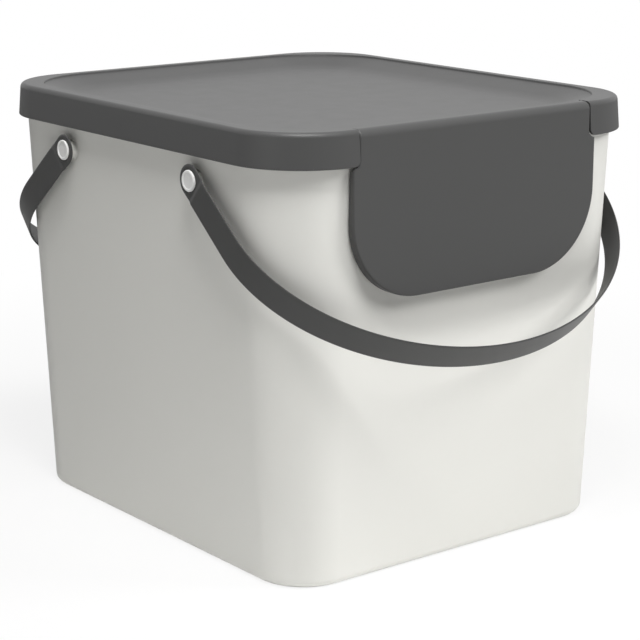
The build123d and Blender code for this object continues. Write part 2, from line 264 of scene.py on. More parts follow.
def bake(piece):
    depsgraph = bpy.context.evaluated_depsgraph_get()
    before = piece.data
    piece_now = piece.evaluated_get(depsgraph)
    mesh = bpy.data.meshes.new_from_object(piece_now, preserve_all_data_layers=True, depsgraph=depsgraph)
    piece.modifiers.clear()
    piece.data = mesh
    mesh.name = piece.name
    bpy.data.meshes.remove(before)


def combine(piece, operation, shapes):
    for shape in shapes:
        tool = as_object("tool", shape)
        change = piece.modifiers.new("combine", "BOOLEAN")
        change.operation = operation
        change.solver = "EXACT"
        change.object = tool
        bake(piece)
        bpy.data.meshes.remove(tool.data)


def slice_across(shape, place, normal, tolerance):
    # adds a line of points where the plane meets the shape
    everything = shape.verts[:] + shape.edges[:] + shape.faces[:]
    bmesh.ops.bisect_plane(shape, geom=everything, plane_co=place, plane_no=normal, dist=tolerance)


def soften(piece, width=SOFT_EDGE):
    # rounds what is still sharp, then shades the piece smooth
    edge = piece.modifiers.new("soft edges", "BEVEL")
    edge.width = width
    edge.segments = 2
    edge.limit_method = "ANGLE"
    edge.angle_limit = SHARP_ANGLE
    edge.use_clamp_overlap = True
    bake(piece)
    shade(piece)


def shade(piece):
    piece.data.shade_smooth()
    piece.data.set_sharp_from_angle(angle=SHARP_ANGLE)
    weighted = piece.modifiers.new("weighted", "WEIGHTED_NORMAL")
    weighted.keep_sharp = True
    bake(piece)


# Container
def container_half_x(z):
    return BASE_HALF_X + (TOP_HALF_X - BASE_HALF_X) * z / SEAT_Z


def container_half_y(z):
    return BASE_HALF_Y + (TOP_HALF_Y - BASE_HALF_Y) * z / SEAT_Z


def container_ring(z, inset):
    corner = BASE_CORNER + (TOP_CORNER - BASE_CORNER) * z / SEAT_Z
    return rounded_ring(container_half_x(z) - inset, container_half_y(z) - inset, corner - inset, z)


def container_skin():
    rings = [container_ring(0, BASE_ROUNDING + OVERRUN)]
    for angle in sweep_angles(0, 90, 2 * ROUNDING_STEPS):
        inset = BASE_ROUNDING * (1 - sin(angle))
        rings.append(container_ring(BASE_ROUNDING * (1 - cos(angle)), inset))
    wall_top = SEAT_Z - LIP_ROUNDING
    for step in range(1, WALL_STEPS + 1):
        z = BASE_ROUNDING + (wall_top - BASE_ROUNDING) * step / WALL_STEPS
        rings.append(container_ring(z, 0))
    for angle in sweep_angles(0, 90, ROUNDING_STEPS)[1:]:
        inset = LIP_ROUNDING * (1 - cos(angle))
        rings.append(container_ring(wall_top + LIP_ROUNDING * sin(angle), inset))
    for angle in sweep_angles(90, 0, ROUNDING_STEPS):
        inset = WALL - LIP_ROUNDING * (1 - cos(angle))
        rings.append(container_ring(wall_top + LIP_ROUNDING * sin(angle), inset))
    inner_rounding = BASE_ROUNDING - WALL
    foot = FLOOR + inner_rounding
    for step in range(1, WALL_STEPS + 1):
        rings.append(container_ring(wall_top + (foot - wall_top) * step / WALL_STEPS, WALL))
    for angle in sweep_angles(90, 0, ROUNDING_STEPS)[1:]:
        z = FLOOR + inner_rounding * (1 - cos(angle))
        rings.append(container_ring(z, WALL + inner_rounding * (1 - sin(angle))))
    rings.append(container_ring(FLOOR, WALL + inner_rounding + OVERRUN))
    return skin(rings)


def mouth_points(y):
    low = FLAP_BOTTOM + FLAP_LAP
    half = FLAP_HALF_WIDTH - FLAP_LAP
    corner = FLAP_CORNER - FLAP_LAP
    points = [(half, y, HEIGHT), (-half, y, HEIGHT)]
    for angle in sweep_angles(180, 270, CORNER_STEPS):
        points.append((-half + corner + corner * cos(angle), y, low + corner + corner * sin(angle)))
    for angle in sweep_angles(270, 360, CORNER_STEPS):
        points.append((half - corner + corner * cos(angle), y, low + corner + corner * sin(angle)))
    return points


def boss(side, end):
    root = PIVOT_WALL_X - WALL / 2
    profile = [(root, BOSS_RADIUS + BOSS_ROOT_FILLET)]
    for angle in sweep_angles(0, 90, ROUNDING_STEPS):
        along = PIVOT_WALL_X + BOSS_ROOT_FILLET * (1 - cos(angle))
        profile.append((along, BOSS_RADIUS + BOSS_ROOT_FILLET * (1 - sin(angle))))
    edge = SOFT_EDGE
    for angle in sweep_angles(0, 90, ROUNDING_STEPS // 2):
        profile.append((BOSS_FACE_X - edge + edge * sin(angle), BOSS_RADIUS - edge + edge * cos(angle)))
    return spun([(side * along, radius) for along, radius in profile], (end * PIVOT_Y, PIVOT_Z))


def make_container():
    piece = as_object("container_shell", container_skin())
    corners = [(side, end) for side in (-1, 1) for end in (-1, 1)]
    combine(piece, "UNION", [boss(side, end) for side, end in corners])
    rear = -container_half_y(FLAP_BOTTOM) + WALL + OVERRUN
    mouth = prism(mouth_points(-LID_HALF_Y), (0, 1, 0), rear + LID_HALF_Y)
    half = NOTCH_HALF_WIDTH + HINGE_BLOCK_LENGTH + HINGE_CUT_SIDE_GAP
    hinge_room = block(
        (-half, -TOP_HALF_Y - HINGE_CUT_DEPTH, HINGE_BLOCK_BOTTOM - HINGE_CUT_FALL),
        (half, -TOP_HALF_Y + HINGE_CUT_DEPTH, HEIGHT + OVERRUN),
    )
    holes = []
    for side, end in corners:
        deep = side * RIVET_TIP_X
        holes.append(rod(HOLE_RADIUS, deep, side * LID_HALF_X, end * PIVOT_Y, PIVOT_Z))
    combine(piece, "DIFFERENCE", [mouth, hinge_room] + holes)
    soften(piece)
    return piece


# Lid
def band_ring(z, inset):
    lean = BAND_DRAFT * (z - BAND_BOTTOM) / BAND_HEIGHT + inset
    return rounded_ring(LID_HALF_X - lean, LID_HALF_Y - lean, LID_CORNER - lean, z)


def tray_ring(inset, z):
    return rounded_ring(TRAY_HALF_X - inset, TRAY_HALF_Y - inset, TRAY_CORNER - inset, z)


def dish_z(inset):
    # an even slope that blends into the flat floor
    even = TRAY_SLOPE - TRAY_BLEND
    steepness = TRAY_FALL / (even + TRAY_BLEND / 2)
    if inset < even:
        return TRAY_EDGE_Z - steepness * inset
    return TRAY_FLOOR_Z + steepness * (TRAY_SLOPE - inset) ** 2 / (2 * TRAY_BLEND)


def dish_insets():
    even = TRAY_SLOPE - TRAY_BLEND
    insets = [0, even / 2]
    for step in range(TRAY_BLEND_STEPS + 1):
        insets.append(even + TRAY_BLEND * step / TRAY_BLEND_STEPS)
    return insets


def lid_skin():
    rings = [tray_ring(TRAY_SLOPE + inset, TRAY_FLOOR_Z) for inset in reversed(TRAY_FLAT_RINGS)]
    for inset in reversed(dish_insets()):
        rings.append(tray_ring(inset, dish_z(inset)))
    edge = RIM_EDGE_ROUNDING
    step_top = HEIGHT - edge
    lean = RIM_STEP_DRAFT * (step_top - TRAY_EDGE_Z) / RIM_STEP
    for angle in sweep_angles(0, 90, ROUNDING_STEPS):
        rings.append(tray_ring(-lean - edge * (1 - cos(angle)), step_top + edge * sin(angle)))
    rounding = BAND_TOP_ROUNDING
    for angle in sweep_angles(90, 0, 2 * ROUNDING_STEPS):
        rings.append(band_ring(HEIGHT - rounding * (1 - sin(angle)), rounding * (1 - cos(angle))))
    foot = BAND_FOOT_ROUNDING
    for angle in sweep_angles(0, 90, ROUNDING_STEPS):
        rings.append(band_ring(BAND_BOTTOM + foot * (1 - sin(angle)), foot * (1 - cos(angle))))
    rings.append(band_ring(BAND_BOTTOM, LID_WALL))
    ceiling = HEIGHT - LID_WALL
    rings.append(band_ring(ceiling, LID_WALL))
    rings.append(tray_ring(-LID_WALL - RIM_STEP_DRAFT, ceiling))
    for inset in dish_insets():
        rings.append(tray_ring(inset - LID_WALL, dish_z(inset) - LID_WALL))
    for inset in TRAY_FLAT_RINGS:
        rings.append(tray_ring(TRAY_SLOPE - LID_WALL + inset, TRAY_FLOOR_Z - LID_WALL))
    return skin(rings)


def notch_points(y):
    half = NOTCH_HALF_WIDTH
    flare = NOTCH_CORNER
    below = BAND_BOTTOM - OVERRUN
    above = HEIGHT + OVERRUN
    points = []
    for side in (1, -1):
        turn = []
        for angle in sweep_angles(180, 270, 2 * ROUNDING_STEPS):
            x = half + flare + flare * cos(angle)
            turn.append((side * x, y, BAND_BOTTOM + flare + flare * sin(angle)))
        edge = [(side * half, y, above)] + turn + [(side * (half + flare), y, below)]
        points += edge if side == 1 else edge[::-1]
    return points


def hinge_blocks():
    half = HINGE_BLOCK_WIDTH / 2
    top = HEIGHT - LID_WALL + HINGE_BLOCK_ROOT
    blocks = []
    for side in (-1, 1):
        ends = sorted((side * NOTCH_HALF_WIDTH, side * (NOTCH_HALF_WIDTH + HINGE_BLOCK_LENGTH)))
        low = (ends[0], HINGE_Y - half, HINGE_BLOCK_BOTTOM)
        blocks.append(block(low, (ends[1], HINGE_Y + half, top)))
    return blocks


def make_lid():
    piece = as_object("lid_shell", lid_skin())
    combine(piece, "UNION", hinge_blocks())
    front = -LID_HALF_Y - OVERRUN
    notch = prism(notch_points(front), (0, 1, 0), HINGE_Y - front)
    seat_radius = BARREL_RADIUS + BARREL_CLEARANCE
    seat = rod(seat_radius, -NOTCH_HALF_WIDTH, NOTCH_HALF_WIDTH, HINGE_Y, HINGE_Z)
    over_barrel = block(
        (-NOTCH_HALF_WIDTH, HINGE_Y - SOFT_EDGE, HINGE_Z),
        (NOTCH_HALF_WIDTH, HINGE_Y + seat_radius, HEIGHT + OVERRUN),
    )
    pin_holes = []
    for side in (-1, 1):
        deep = side * (NOTCH_HALF_WIDTH + TRUNNION_LENGTH)
        hole = TRUNNION_RADIUS + TRUNNION_CLEARANCE
        pin_holes.append(rod(hole, side * FLAP_NECK_HALF_WIDTH, deep, HINGE_Y, HINGE_Z))
    combine(piece, "DIFFERENCE", [notch, seat, over_barrel] + pin_holes)
    soften(piece)
    return piece


# Flap, drawn flat in its front plane and then bent over at the top
def flap_points(inset, y, top):
    neck = FLAP_NECK_HALF_WIDTH - inset
    corner = FLAP_CORNER - inset
    corner_x = FLAP_HALF_WIDTH - FLAP_CORNER
    corner_z = FLAP_BOTTOM + FLAP_CORNER
    flare = FLAP_HALF_WIDTH - FLAP_NECK_HALF_WIDTH + inset
    shoulder_x = FLAP_HALF_WIDTH
    shoulder_z = BAND_BOTTOM - FLAP_SHOULDER_GAP + FLAP_HALF_WIDTH - FLAP_NECK_HALF_WIDTH
    first = 270 - degrees(asin(inset / flare))
    right = []
    for angle in sweep_angles(-90, 0, CORNER_STEPS):
        right.append((corner_x + corner * cos(angle), corner_z + corner * sin(angle)))
    for angle in sweep_angles(first, 180, 2 * ROUNDING_STEPS):
        right.append((shoulder_x + flare * cos(angle), shoulder_z + flare * sin(angle)))
    right.append((neck, top))
    left = [(-x, z) for x, z in reversed(right)]
    return [(x, y, z) for x, z in right + left]


def flap_sheet_length():
    bend = FLAP_TOP_ROUNDING * pi / 2
    return HEIGHT - FLAP_TOP_ROUNDING + bend + HINGE_SETBACK - FLAP_TOP_ROUNDING


def flap_block():
    top = flap_sheet_length()
    rings = [flap_points(3 * FLAP_EDGE_ROUNDING, FLAP_FRONT, top)]
    for angle in sweep_angles(0, 90, ROUNDING_STEPS):
        inset = FLAP_EDGE_ROUNDING * (1 - sin(angle))
        rings.append(flap_points(inset, FLAP_FRONT + FLAP_EDGE_ROUNDING * (1 - cos(angle)), top))
    rings.append(flap_points(0, FLAP_FRONT + HINGE_CUT_DEPTH, top))
    return skin(rings)


def flap_hollows():
    back = FLAP_FRONT + 2 * HINGE_CUT_DEPTH
    plate_back = FLAP_FRONT + FLAP_PLATE
    top = flap_sheet_length() + OVERRUN
    hollow = prism(flap_points(FLAP_RIM, plate_back, top), (0, 1, 0), back - plate_back)
    side = LID_HALF_X
    above = block((-side, plate_back, BAND_BOTTOM - FLAP_RIM_DROP), (side, back, top + OVERRUN))
    wall_low = (-side, -container_half_y(0) - FLAP_WALL_GAP, 0)
    wall_high = (-side, -container_half_y(HEIGHT) - FLAP_WALL_GAP, HEIGHT)
    wall = prism([wall_low, (-side, back, 0), (-side, back, HEIGHT), wall_high], (1, 0, 0), 2 * side)
    hollows = [hollow, above, wall]
    shoulder_low = BAND_BOTTOM - FLAP_SHOULDER_GAP - FLAP_REAR_STEP
    for side in (-1, 1):
        ends = sorted((side * FLAP_NECK_HALF_WIDTH, side * (FLAP_HALF_WIDTH + OVERRUN)))
        low = (ends[0], FLAP_FRONT + FLAP_SKIN, shoulder_low)
        hollows.append(block(low, (ends[1], back, HEIGHT)))
    return hollows


def bend_over(x, y, z):
    # the sheet rises up the front, turns over the top rounding and runs back to the hinge
    depth = y - FLAP_FRONT
    radius = FLAP_TOP_ROUNDING - depth
    start = HEIGHT - FLAP_TOP_ROUNDING
    past = z - start
    if past <= 0:
        return (x, y, z)
    turned = min(past / FLAP_TOP_ROUNDING, pi / 2)
    along = max(past - FLAP_TOP_ROUNDING * pi / 2, 0)
    bent_y = FLAP_FRONT + FLAP_TOP_ROUNDING - radius * cos(turned) + along
    return (x, bent_y, start + radius * sin(turned))


def bend_flap(piece):
    shape = bmesh.new()
    shape.from_mesh(piece.data)
    start = HEIGHT - FLAP_TOP_ROUNDING
    for angle in sweep_angles(0, 90, 3 * ROUNDING_STEPS):
        level = start + FLAP_TOP_ROUNDING * angle
        slice_across(shape, (0, 0, level), (0, 0, 1), 1e-7)
    for vert in shape.verts:
        vert.co = bend_over(*vert.co)
    shape.to_mesh(piece.data)
    shape.free()


def make_flap():
    piece = as_object("flap_panel", flap_block())
    combine(piece, "DIFFERENCE", flap_hollows())
    bend_flap(piece)
    neck = FLAP_NECK_HALF_WIDTH
    barrel = rod(BARREL_RADIUS, -neck, neck, HINGE_Y, HINGE_Z)
    reach = neck + TRUNNION_LENGTH
    pins = rod(TRUNNION_RADIUS, -reach, reach, HINGE_Y, HINGE_Z)
    combine(piece, "UNION", [barrel, pins])
    # the closed flap sits a little to the left in its notch
    piece.data.transform(Matrix.Translation((-FLAP_SIDE_PLAY, 0, 0)))
    soften(piece, FLAP_SOFT_EDGE)
    return piece


# Handles, each a flat strap that follows a path
def handle_path(end):
    # points down the middle of the strap, from behind the left pivot round the bow to the right
    eye_x = EYE_OUTER_X - STRAP_THICKNESS / 2
    arm_x = HANDLE_HALF_WIDTH - STRAP_THICKNESS / 2
    bow = HANDLE_REACH - STRAP_THICKNESS / 2 - HANDLE_ARM_LENGTH
    left = [(-eye_x, -PATH_LEAD), (-eye_x, 0)]
    for step in range(RAMP_STEPS + 1):
        share = step / RAMP_STEPS
        ease = share * share * (3 - 2 * share)
        out = EYE_FLAT + (EYE_RAMP_END - EYE_FLAT) * share
        left.append((-eye_x - (arm_x - eye_x) * ease, out))
    flat = list(left)
    for angle in sweep_angles(180, 0, BOW_STEPS):
        flat.append((arm_x * cos(angle), HANDLE_ARM_LENGTH + bow * sin(angle)))
    flat += [(-x, out) for x, out in reversed(left)]
    outward = Vector((0, end * cos(HANDLE_HANG), -sin(HANDLE_HANG)))
    pivot = Vector((0, end * PIVOT_Y, PIVOT_Z))
    return [pivot + outward * out + Vector((x, 0, 0)) for x, out in flat]


def path_length(points):
    return sum((after - here).length for here, after in zip(points, points[1:]))


def strap_points(inset, length, z):
    # X runs along the strap from pivot to pivot, Y across it, and both ends are round eyes
    half = STRAP_WIDTH / 2 - inset
    eye = EYE_RADIUS - inset
    far = hypot(EYE_RAMP_END, half)
    touch = degrees(atan2(half, EYE_RAMP_END) + acos(eye / far))
    start = []
    for angle in sweep_angles(touch, 360 - touch, 2 * CORNER_STEPS):
        start.append((eye * cos(angle), eye * sin(angle)))
    start = [(EYE_RAMP_END, half)] + start + [(EYE_RAMP_END, -half)]
    finish = [(length - x, -y) for x, y in start]
    return [(x, y, z) for x, y in start + finish]


def strap_skin(length):
    # the edges round off wider on the face than they are deep
    depth = STRAP_EDGE_ROUNDING
    half = STRAP_THICKNESS / 2
    rings = []
    for angle in sweep_angles(0, 90, ROUNDING_STEPS):
        inset = STRAP_EDGE_WIDTH * (1 - sin(angle))
        rings.append(strap_points(inset, length, -half + depth * (1 - cos(angle))))
    for angle in sweep_angles(90, 0, ROUNDING_STEPS):
        inset = STRAP_EDGE_WIDTH * (1 - sin(angle))
        rings.append(strap_points(inset, length, half - depth * (1 - cos(angle))))
    return skin(rings)


def new_tree(name, inputs, output):
    # a geometry tree with named inputs and one output
    tree = bpy.data.node_groups.new(name, "GeometryNodeTree")
    for label, kind in inputs:
        tree.interface.new_socket(label, in_out="INPUT", socket_type="NodeSocket" + kind)
    tree.interface.new_socket(output, in_out="OUTPUT", socket_type="NodeSocketGeometry")
    return tree


def vector_math(tree, operation, first, second):
    step = tree.nodes.new("ShaderNodeVectorMath")
    step.operation = operation
    other = "Scale" if operation == "SCALE" else 1
    tree.links.new(first, step.inputs[0])
    tree.links.new(second, step.inputs[other])
    return step.outputs[0]


def finish_tree(tree, geometry, given):
    made = tree.nodes.new("NodeGroupOutput")
    real = tree.nodes.new("GeometryNodeRealizeInstances")
    coat = tree.nodes.new("GeometryNodeSetMaterial")
    tree.links.new(geometry, real.inputs[0])
    tree.links.new(real.outputs[0], coat.inputs["Geometry"])
    tree.links.new(given.outputs["Material"], coat.inputs["Material"])
    tree.links.new(coat.outputs[0], made.inputs[0])


def run_tree(piece, tree, values):
    change = piece.modifiers.new(tree.name, "NODES")
    change.node_group = tree
    for item in tree.interface.items_tree:
        if item.in_out == "INPUT" and item.name in values:
            change[item.identifier] = values[item.name]
    bake(piece)


def follow_path_tree():
    # bends a flat strap along a path: X becomes distance along it, Y runs across, Z stands off it
    inputs = [("Strap", "Geometry"), ("Path", "Object"), ("Across", "Vector"), ("Material", "Material")]
    tree = new_tree("strap_follows_path", inputs, "Strap")
    link = tree.links.new
    add = tree.nodes.new
    given = add("NodeGroupInput")
    path = add("GeometryNodeObjectInfo")
    path.transform_space = "ORIGINAL"
    link(given.outputs["Path"], path.inputs["Object"])
    place = add("GeometryNodeInputPosition")
    flat = add("ShaderNodeSeparateXYZ")
    link(place.outputs[0], flat.inputs[0])
    sample = add("GeometryNodeSampleCurve")
    sample.mode = "LENGTH"
    sample.use_all_curves = True
    link(path.outputs["Geometry"], sample.inputs["Curves"])
    link(flat.outputs["X"], sample.inputs["Length"])
    across = given.outputs["Across"]
    outward = vector_math(tree, "CROSS_PRODUCT", sample.outputs["Tangent"], across)
    stand_off = vector_math(tree, "SCALE", outward, flat.outputs["Z"])
    sideways = vector_math(tree, "SCALE", across, flat.outputs["Y"])
    both = vector_math(tree, "ADD", stand_off, sideways)
    landed = vector_math(tree, "ADD", sample.outputs["Position"], both)
    move = add("GeometryNodeSetPosition")
    link(given.outputs["Strap"], move.inputs["Geometry"])
    link(landed, move.inputs["Position"])
    finish_tree(tree, move.outputs[0], given)
    return tree


def path_object(points):
    line = bpy.data.curves.new("strap_path", "CURVE")
    line.dimensions = "3D"
    spline = line.splines.new("POLY")
    spline.points.add(len(points) - 1)
    for spot, point in zip(spline.points, points):
        spot.co = (*point, 1)
    path = bpy.data.objects.new("strap_path", line)
    bpy.context.scene.collection.objects.link(path)
    return path


def eye_cuts(length):
    # a hole and a shallow recess for the rivet's head in each eye
    past = STRAP_THICKNESS
    seat = STRAP_THICKNESS / 2 - EYE_RECESS_DEPTH
    cuts = []
    for x in (0, length):
        for radius, low in ((HOLE_RADIUS, -past), (EYE_RECESS_RADIUS, seat)):
            cut = spun([(low, radius), (past, radius)], (0, 0))
            turn = Matrix.Translation((x, 0, 0)) @ Matrix.Rotation(radians(-90), 4, "Y")
            bmesh.ops.transform(cut, matrix=turn, verts=cut.verts)
            cuts.append(cut)
    return cuts


def strap_slices(length):
    # close together where the strap steps outwards, wider along the bow
    count = int((length - 2 * EYE_RAMP_END) / STRAP_SLICE) + 1
    bow = [EYE_RAMP_END + step * STRAP_SLICE for step in range(count)]
    ramp = [EYE_FLAT - RAMP_SLICE_LEAD + step * RAMP_SLICE for step in range(RAMP_SLICES)]
    return sorted(bow + ramp + [length - x for x in ramp])


def slice_strap(piece, length):
    shape = bmesh.new()
    shape.from_mesh(piece.data)
    for x in strap_slices(length):
        slice_across(shape, (x, 0, 0), (1, 0, 0), 1e-6)
    bmesh.ops.translate(shape, vec=(PATH_LEAD, 0, 0), verts=shape.verts)
    shape.to_mesh(piece.data)
    shape.free()


def make_handle(name, end, tree, coat):
    points = handle_path(end)
    length = path_length(points) - 2 * PATH_LEAD
    path = path_object(points)
    piece = as_object(name, strap_skin(length))
    combine(piece, "DIFFERENCE", eye_cuts(length))
    slice_strap(piece, length)
    across = Vector((0, -sin(HANDLE_HANG), -end * cos(HANDLE_HANG)))
    run_tree(piece, tree, {"Path": path, "Across": across, "Material": coat})
    bpy.data.curves.remove(path.data)
    shade(piece)
    return piece


# Rivets
def rivet_profile():
    # (distance along X, radius), from the head's middle to the split tip
    under = EYE_OUTER_X - EYE_RECESS_DEPTH + RIVET_HEAD_GAP
    face = under + RIVET_HEAD_THICKNESS
    dish = RIVET_HEAD_RADIUS - RIVET_RING_WIDTH
    floor = face - RIVET_DISH
    profile = [(floor, RIVET_MIDDLE_RADIUS), (floor, dish - RIVET_DISH_FLAT_INSET)]
    for angle in sweep_angles(0, 90, ROUNDING_STEPS):
        radius = dish - RIVET_DISH_WALL_INSET + RIVET_DISH_WALL * sin(angle)
        profile.append((face - RIVET_DISH * cos(angle), radius))
    rounding = RIVET_FACE_ROUNDING
    for angle in sweep_angles(90, 0, ROUNDING_STEPS):
        radius = RIVET_HEAD_RADIUS - rounding * (1 - cos(angle))
        profile.append((face - rounding * (1 - sin(angle)), radius))
    profile += [
        (under + RIVET_UNDER_CHAMFER, RIVET_HEAD_RADIUS),
        (under, RIVET_HEAD_RADIUS - RIVET_UNDER_CHAMFER),
        (under, RIVET_SHAFT_RADIUS),
        (RIVET_BARB_X, RIVET_SHAFT_RADIUS),
        (RIVET_BARB_X, RIVET_BARB_RADIUS),
        (RIVET_TIP_X, RIVET_TIP_RADIUS),
        (RIVET_TIP_X, RIVET_MIDDLE_RADIUS),
    ]
    return profile


def rivet_tree():
    # one rivet on each corner of a grid of pivots, its head turned outwards
    inputs = [
        ("Rivet", "Geometry"), ("Width", "Float"), ("Depth", "Float"),
        ("Centre", "Vector"), ("Material", "Material"),
    ]
    tree = new_tree("rivets_on_pivots", inputs, "Rivets")
    link = tree.links.new
    add = tree.nodes.new
    given = add("NodeGroupInput")
    grid = add("GeometryNodeMeshGrid")
    grid.inputs["Vertices X"].default_value = 2
    grid.inputs["Vertices Y"].default_value = 2
    link(given.outputs["Width"], grid.inputs["Size X"])
    link(given.outputs["Depth"], grid.inputs["Size Y"])
    place = add("GeometryNodeInputPosition")
    flat = add("ShaderNodeSeparateXYZ")
    link(place.outputs[0], flat.inputs[0])
    left = add("ShaderNodeMath")
    left.operation = "LESS_THAN"
    left.inputs[1].default_value = 0
    link(flat.outputs["X"], left.inputs[0])
    half_turn = add("ShaderNodeMath")
    half_turn.operation = "MULTIPLY"
    half_turn.inputs[1].default_value = pi
    link(left.outputs[0], half_turn.inputs[0])
    turn = add("ShaderNodeCombineXYZ")
    link(half_turn.outputs[0], turn.inputs["Z"])
    copies = add("GeometryNodeInstanceOnPoints")
    link(grid.outputs["Mesh"], copies.inputs["Points"])
    link(given.outputs["Rivet"], copies.inputs["Instance"])
    link(turn.outputs[0], copies.inputs["Rotation"])
    lift = add("GeometryNodeTransform")
    link(copies.outputs[0], lift.inputs["Geometry"])
    link(given.outputs["Centre"], lift.inputs["Translation"])
    finish_tree(tree, lift.outputs[0], given)
    return tree


def make_rivets(coat):
    piece = as_object("pivot_rivets", spun(rivet_profile(), (0, 0)))
    slot_end = RIVET_BARB_X + RIVET_SLOT_PAST_BARB
    half = RIVET_SLOT / 2
    low = (RIVET_TIP_X - OVERRUN, -half, -RIVET_HEAD_RADIUS)
    combine(piece, "DIFFERENCE", [block(low, (slot_end, half, RIVET_HEAD_RADIUS))])
    piece.data.transform(Matrix.Translation((-EYE_OUTER_X, 0, 0)))
    values = {
        "Width": 2 * EYE_OUTER_X,
        "Depth": 2 * PIVOT_Y,
        "Centre": Vector((0, 0, PIVOT_Z)),
        "Material": coat,
    }
    run_tree(piece, rivet_tree(), values)
    shade(piece)
    return piece


# Materials
CLOUD_SCALE = 9
CLOUD_DETAIL = 3
CLOUD_ROUGHNESS = 0.55
SHEEN_SCALE = 60
SHEEN_DETAIL = 4
SHEEN_LOW = 0.3
SHEEN_HIGH = 0.7
GRAIN_DETAIL = 2


def noise(tree, scale, detail):
    place = tree.nodes.new("ShaderNodeTexCoord")
    texture = tree.nodes.new("ShaderNodeTexNoise")
    texture.inputs["Scale"].default_value = scale
    texture.inputs["Detail"].default_value = detail
    tree.links.new(place.outputs["Object"], texture.inputs["Vector"])
    return texture


def flow_clouds(tree, plastic, colour, deep_colour):
    cloud = noise(tree, CLOUD_SCALE, CLOUD_DETAIL)
    cloud.inputs["Roughness"].default_value = CLOUD_ROUGHNESS
    tint = tree.nodes.new("ShaderNodeMix")
    tint.data_type = "RGBA"
    tint.inputs["A"].default_value = (*deep_colour, 1)
    tint.inputs["B"].default_value = (*colour, 1)
    tree.links.new(cloud.outputs["Fac"], tint.inputs["Factor"])
    tree.links.new(tint.outputs["Result"], plastic.inputs["Base Color"])


def uneven_sheen(tree, plastic, roughness, change):
    wear = noise(tree, SHEEN_SCALE, SHEEN_DETAIL)
    sheen = tree.nodes.new("ShaderNodeMapRange")
    sheen.inputs["From Min"].default_value = SHEEN_LOW
    sheen.inputs["From Max"].default_value = SHEEN_HIGH
    sheen.inputs["To Min"].default_value = roughness - change
    sheen.inputs["To Max"].default_value = roughness + change
    tree.links.new(wear.outputs["Fac"], sheen.inputs["Value"])
    tree.links.new(sheen.outputs["Result"], plastic.inputs["Roughness"])


def fine_grain(tree, plastic, depth, size):
    spark = noise(tree, 1 / size, GRAIN_DETAIL)
    rough = tree.nodes.new("ShaderNodeBump")
    rough.inputs["Strength"].default_value = 1
    rough.inputs["Distance"].default_value = depth
    tree.links.new(spark.outputs["Fac"], rough.inputs["Height"])
    tree.links.new(rough.outputs["Normal"], plastic.inputs["Normal"])


def moulded_plastic(name, colours, roughness, specular, sheen_change, grain, grain_size):
    # plain moulded plastic: a fine even grain, faint flow clouds and slight changes of sheen
    material = bpy.data.materials.new(name)
    material.use_nodes = True
    tree = material.node_tree
    plastic = tree.nodes["Principled BSDF"]
    plastic.inputs["Specular IOR Level"].default_value = specular
    flow_clouds(tree, plastic, *colours)
    uneven_sheen(tree, plastic, roughness, sheen_change)
    fine_grain(tree, plastic, grain, grain_size)
    return material


# each finish has its colour and a slightly deeper one for the clouds
OFF_WHITE = ((0.815, 0.81, 0.77), (0.80, 0.795, 0.755))
CHARCOAL = ((0.060, 0.060, 0.0595), (0.058, 0.058, 0.0575))
STRAP_GREY = ((0.046, 0.046, 0.045), (0.044, 0.044, 0.043))
BUTTON_WHITE = ((0.87, 0.87, 0.855), (0.855, 0.855, 0.84))

container_plastic = moulded_plastic(
    "off_white_moulding", OFF_WHITE, roughness=0.42, specular=0.4, sheen_change=0.02,
    grain=0.006 * MM, grain_size=0.7 * MM)
lid_plastic = moulded_plastic(
    "charcoal_moulding", CHARCOAL, roughness=0.46, specular=0.43, sheen_change=0.01,
    grain=0.006 * MM, grain_size=0.5 * MM)
flap_plastic = moulded_plastic(
    "charcoal_flap_moulding", CHARCOAL, roughness=0.46, specular=0.43, sheen_change=0.01,
    grain=0.006 * MM, grain_size=0.5 * MM)
strap_plastic = moulded_plastic(
    "charcoal_strap", STRAP_GREY, roughness=0.42, specular=0.43, sheen_change=0.02,
    grain=0.006 * MM, grain_size=0.6 * MM)
rivet_plastic = moulded_plastic(
    "white_button", BUTTON_WHITE, roughness=0.35, specular=0.5, sheen_change=0.02,
    grain=0.004 * MM, grain_size=0.6 * MM)


def dress(piece, coat, body, nodes):
    if piece.data.materials:
        piece.data.materials[0] = coat
    else:
        piece.data.materials.append(coat)
    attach(piece, body)
    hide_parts(*nodes)


RIVET_NODES = ["front_left_rivet", "front_right_rivet", "rear_left_rivet", "rear_right_rivet"]

strap_tree = follow_path_tree()
dress(make_container(), container_plastic, "container", ["container"])
dress(make_lid(), lid_plastic, "lid", ["lid"])
dress(make_flap(), flap_plastic, "flap", ["flap"])
for name, end in (("front_handle", -1), ("rear_handle", 1)):
    handle = make_handle(name + "_strap", end, strap_tree, strap_plastic)
    dress(handle, strap_plastic, name, [name])
dress(make_rivets(rivet_plastic), rivet_plastic, "container", RIVET_NODES)


# Studio: a pale floor, a white surround and soft lamps
FLOOR_SIZE = 12.0
WHITE = (1, 1, 1, 1)
FLOOR_COLOUR = (0.92, 0.92, 0.915, 1)
FLOOR_GLOW = 0.85
GLOW_FROM = 0.3
GLOW_TO = 0.9
SURROUND_STRENGTH = 0.02
LAMPS_AIM = (0, 0, 0.18)


